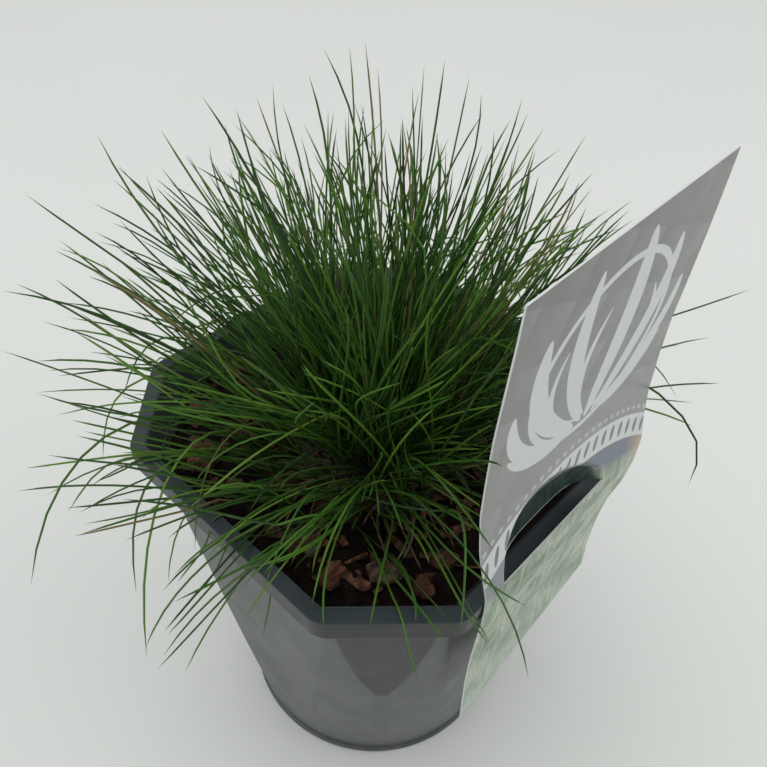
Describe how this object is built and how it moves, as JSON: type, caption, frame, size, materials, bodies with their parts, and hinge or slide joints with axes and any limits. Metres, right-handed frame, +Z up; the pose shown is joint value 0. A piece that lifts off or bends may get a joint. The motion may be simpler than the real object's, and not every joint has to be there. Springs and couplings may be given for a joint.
{
  "type": "potted bearskin fescue",
  "caption": "Tuft of needle-fine green grass in a dark nursery pot with a square rim and a round base, with a plastic plant label slipped over the rim.",
  "frame": {"origin": "centre of the pot's flat underside", "axes": "+Z up through the pot, -Y towards the side that carries the plant label, +X to the right of a viewer who faces the label"},
  "size_m": [0.2153, 0.1905, 0.2709],
  "materials": {
    "pot_plastic": "dark slate injection-moulded plastic, satin, with dull scratches",
    "compost": "damp black-brown potting compost, crumbly",
    "stalk_bases": "pale dry stalk bases, fibrous",
    "blades": "green needle-thin grass blades, slightly waxy",
    "bark": "rough red-brown bark",
    "printed_label": "printed plastic sheet, grey above and pale green below, glossy"
  },
  "bodies": {
    "root": {"pot": "pot_plastic", "potting_soil": "compost", "crown": "stalk_bases", "tuft_01": "blades", "tuft_02": "blades", "tuft_03": "blades", "tuft_04": "blades", "tuft_05": "blades", "tuft_06": "blades", "tuft_07": "blades", "tuft_08": "blades", "tuft_09": "blades", "tuft_10": "blades", "tuft_11": "blades", "tuft_12": "blades", "tuft_13": "blades", "tuft_14": "blades", "tuft_15": "blades", "tuft_16": "blades", "tuft_17": "blades", "tuft_18": "blades", "tuft_19": "blades", "tuft_20": "blades", "tuft_21": "blades", "tuft_22": "blades", "tuft_23": "blades", "tuft_24": "blades", "tuft_25": "blades", "tuft_26": "blades", "tuft_27": "blades", "tuft_28": "blades", "tuft_29": "blades", "tuft_30": "blades", "tuft_31": "blades", "tuft_32": "blades", "tuft_33": "blades", "tuft_34": "blades", "tuft_35": "blades", "tuft_36": "blades", "tuft_37": "blades", "tuft_38": "blades", "tuft_39": "blades", "tuft_40": "blades", "tuft_41": "blades", "bark_chip_01": "bark", "bark_chip_02": "bark", "bark_chip_03": "bark", "bark_chip_04": "bark", "bark_chip_05": "bark", "bark_chip_06": "bark", "bark_chip_07": "bark", "bark_chip_08": "bark", "bark_chip_09": "bark", "bark_chip_10": "bark", "bark_chip_11": "bark", "bark_chip_12": "bark", "plant_label": "printed_label"}
  },
  "joints": []
}
